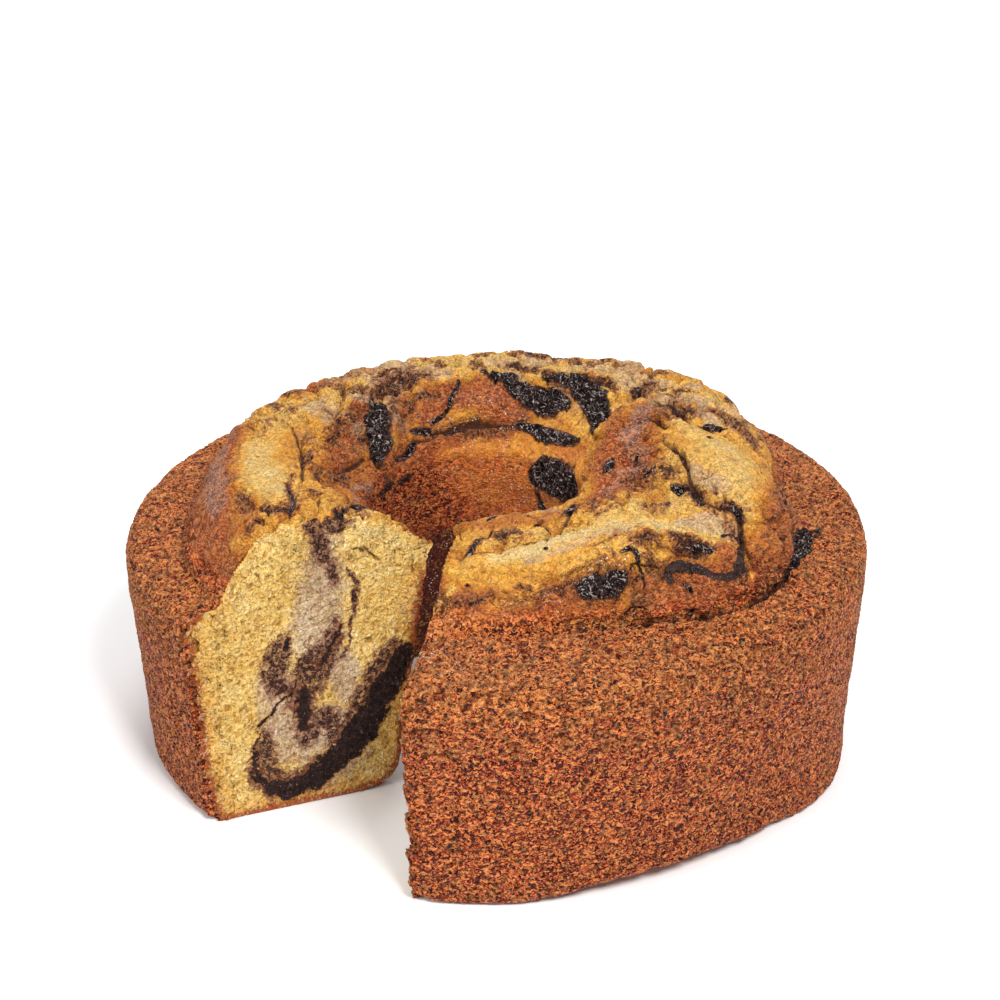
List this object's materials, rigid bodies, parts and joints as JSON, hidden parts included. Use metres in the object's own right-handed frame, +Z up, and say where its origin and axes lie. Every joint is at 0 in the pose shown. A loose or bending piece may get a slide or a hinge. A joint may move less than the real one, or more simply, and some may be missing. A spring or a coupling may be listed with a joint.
{
  "type": "marble ring cake with a wedge cut out",
  "caption": "Marble ring cake baked in a plain tube pan, with a smooth side, a raised swirled crown and a wedge cut out.",
  "frame": {"origin": "centre of the cake's flat underside", "axes": "+Z up through the hole; the missing wedge is at the front left, between -Y and -X"},
  "size_m": [0.2399, 0.24, 0.1037],
  "materials": {
    "cake_crust": "matte",
    "cake_crown": "matte",
    "cake_crumb": "matte"
  },
  "bodies": {
    "root": {"cake": "cake_crust"}
  },
  "joints": []
}
